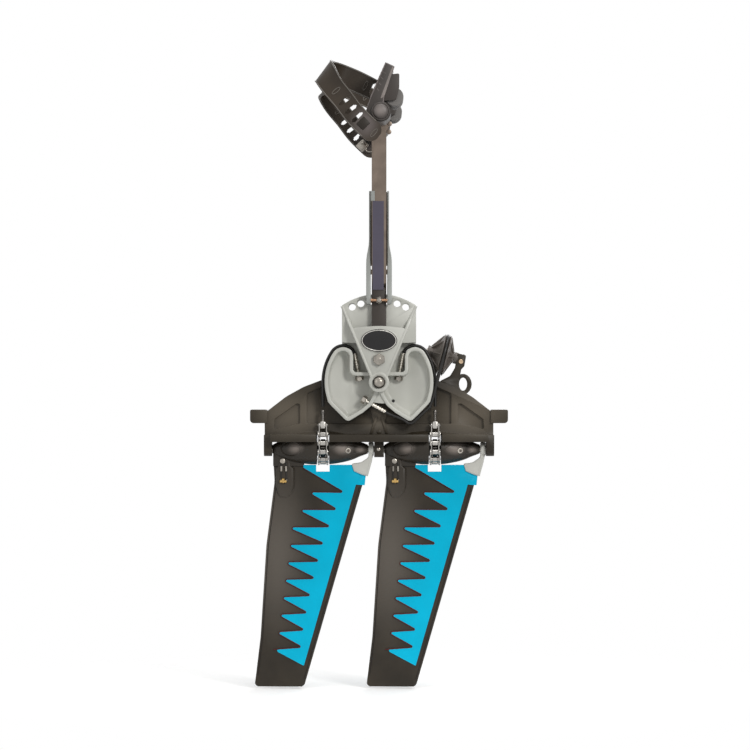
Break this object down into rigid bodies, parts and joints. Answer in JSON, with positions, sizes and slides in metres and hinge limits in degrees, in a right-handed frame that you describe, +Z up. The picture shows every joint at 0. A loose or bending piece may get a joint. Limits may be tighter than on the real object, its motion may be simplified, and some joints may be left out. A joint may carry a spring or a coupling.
{
  "type": "kayak pedal fin drive",
  "caption": "Pedal drive for a kayak: two cranks turn rope drums on a spine, and chains swing two flexible fins below it from side to side.",
  "frame": {"origin": "middle of the plane on which the spine's two end tabs sit in the hull", "axes": "+X to the boat's bow, where the idler pulley is; +Y across the boat; +Z up towards the pedals"},
  "size_m": [0.373, 0.3376, 0.8969],
  "materials": {
    "black_casting": "moulded, satin",
    "grey_casting": "moulded, satin",
    "grey_mast_base": "moulded, matte",
    "stainless_steel": "machined",
    "brass": "machined",
    "coated_rope": "polymer-coated wire rope",
    "dark_plastic": "moulded",
    "anodised_crank": "anodised, brushed",
    "bushing_plastic": "turned bearing plastic",
    "fin_rubber": "flexible, matte",
    "blue_stiffener": "moulded, satin",
    "strap_rubber": "moulded, matte"
  },
  "bodies": {
    "spine": {"spine": "black_casting", "centre_bearing_block": "black_casting", "rear_fin_axle": "stainless_steel", "front_fin_axle": "stainless_steel", "main_shaft": "stainless_steel", "shaft_nut_near": "stainless_steel", "shaft_nut_far": "stainless_steel", "idler_axle": "stainless_steel", "idler_rope": "coated_rope", "chain_rear": "stainless_steel", "chain_front": "stainless_steel"},
    "drum_near": {"drum_near": "grey_casting", "drum_bushing_near": "bushing_plastic", "crank_bolt_near": "stainless_steel", "badge_near": "dark_plastic", "idler_terminal_near": "stainless_steel", "rope_stud_front_near": "stainless_steel", "rope_stud_rear_near": "stainless_steel", "chain_rope_front_near": "coated_rope", "chain_rope_rear_near": "coated_rope"},
    "crank_near": {"crank_near": "anodised_crank", "pedal_spindle_near": "dark_plastic"},
    "latch_handle_near": {"latch_handle_near": "grey_casting"},
    "latch_pin_near": {"latch_pin_near": "stainless_steel"},
    "pedal_near": {"pedal_near": "dark_plastic", "pedal_roller_near": "grey_casting", "strap_near": "strap_rubber", "strap_buckle_near": "dark_plastic"},
    "drum_far": {"drum_far": "grey_casting", "drum_bushing_far": "bushing_plastic", "crank_bolt_far": "stainless_steel", "badge_far": "dark_plastic", "idler_terminal_far": "stainless_steel", "rope_stud_front_far": "stainless_steel", "rope_stud_rear_far": "stainless_steel", "chain_rope_front_far": "coated_rope", "chain_rope_rear_far": "coated_rope"},
    "crank_far": {"crank_far": "anodised_crank", "pedal_spindle_far": "dark_plastic"},
    "latch_handle_far": {"latch_handle_far": "grey_casting"},
    "latch_pin_far": {"latch_pin_far": "stainless_steel"},
    "pedal_far": {"pedal_far": "dark_plastic", "pedal_roller_far": "grey_casting", "strap_far": "strap_rubber", "strap_buckle_far": "dark_plastic"},
    "idler": {"idler_pulley": "dark_plastic"},
    "fin_rear": {"fin_hub_rear": "dark_plastic", "sprocket_rear": "stainless_steel", "fin_mast_rear": "grey_mast_base", "fin_blade_rear": "fin_rubber", "fin_band_rear": "blue_stiffener", "outhaul_screw_rear": "stainless_steel", "outhaul_nut_rear": "brass"},
    "fin_front": {"fin_hub_front": "dark_plastic", "sprocket_front": "stainless_steel", "fin_mast_front": "grey_mast_base", "fin_blade_front": "fin_rubber", "fin_band_front": "blue_stiffener", "outhaul_screw_front": "stainless_steel", "outhaul_nut_front": "brass"}
  },
  "joints": [
    {"name": "drum_swing_near", "type": "hinge", "parent": "spine", "child": "drum_near", "pos_m": [0, 0, 0.0595], "axis": [0, 1, 0], "range_deg": [-20, 20], "deforming": ["chain_rope_rear_near", "chain_rope_front_near", "idler_rope"]},
    {"name": "drum_swing_far", "type": "hinge", "parent": "spine", "child": "drum_far", "pos_m": [0, 0, 0.0595], "axis": [0, 1, 0], "range_deg": [-20, 20], "deforming": ["chain_rope_rear_far", "chain_rope_front_far"]},
    {"name": "fin_swing_rear", "type": "hinge", "parent": "spine", "child": "fin_rear", "pos_m": [-0.081, 0, -0.0377], "axis": [1, 0, 0], "range_deg": [-87.5, 87.5], "deforming": ["chain_rear"]},
    {"name": "fin_swing_front", "type": "hinge", "parent": "spine", "child": "fin_front", "pos_m": [0.081, 0, -0.0377], "axis": [1, 0, 0], "range_deg": [-87.5, 87.5], "deforming": ["chain_front"]},
    {"name": "idler_spin", "type": "hinge", "parent": "spine", "child": "idler", "pos_m": [0.09382, 0, 0.09876], "axis": [0.9681, 0, -0.2504], "range_deg": [-58, 58]},
    {"name": "crank_adjust_near", "type": "hinge", "parent": "drum_near", "child": "crank_near", "pos_m": [0, -0.0365, 0.092], "axis": [0, 1, 0], "range_deg": [-27, 27]},
    {"name": "latch_lift_near", "type": "hinge", "parent": "crank_near", "child": "latch_handle_near", "pos_m": [0, -0.0365, 0.219], "axis": [1, 0, 0], "range_deg": [0, 6]},
    {"name": "latch_pin_slide_near", "type": "slide", "parent": "crank_near", "child": "latch_pin_near", "axis": [0, 1, 0], "range_m": [0, 0.0044]},
    {"name": "pedal_turn_near", "type": "hinge", "parent": "crank_near", "child": "pedal_near", "pos_m": [0.002, -0.123, 0.4383], "axis": [0, 1, 0], "continuous": true},
    {"name": "crank_adjust_far", "type": "hinge", "parent": "drum_far", "child": "crank_far", "pos_m": [0, 0.0365, 0.092], "axis": [0, 1, 0], "range_deg": [-27, 27]},
    {"name": "latch_lift_far", "type": "hinge", "parent": "crank_far", "child": "latch_handle_far", "pos_m": [0, 0.0365, 0.219], "axis": [-1, 0, 0], "range_deg": [0, 6]},
    {"name": "latch_pin_slide_far", "type": "slide", "parent": "crank_far", "child": "latch_pin_far", "axis": [0, -1, 0], "range_m": [0, 0.0044]},
    {"name": "pedal_turn_far", "type": "hinge", "parent": "crank_far", "child": "pedal_far", "pos_m": [0.002, 0.123, 0.4383], "axis": [0, 1, 0], "continuous": true}
  ],
  "couplings": [
    {"joint": "drum_swing_far", "follows": "drum_swing_near", "ratio": -1},
    {"joint": "fin_swing_rear", "follows": "drum_swing_near", "ratio": -4.3628},
    {"joint": "fin_swing_front", "follows": "drum_swing_near", "ratio": 4.3628},
    {"joint": "idler_spin", "follows": "drum_swing_near", "ratio": 2.8421},
    {"joint": "latch_pin_slide_near", "follows": "latch_lift_near", "m_per_rad": 0.0419},
    {"joint": "latch_pin_slide_far", "follows": "latch_lift_far", "m_per_rad": 0.0419}
  ]
}
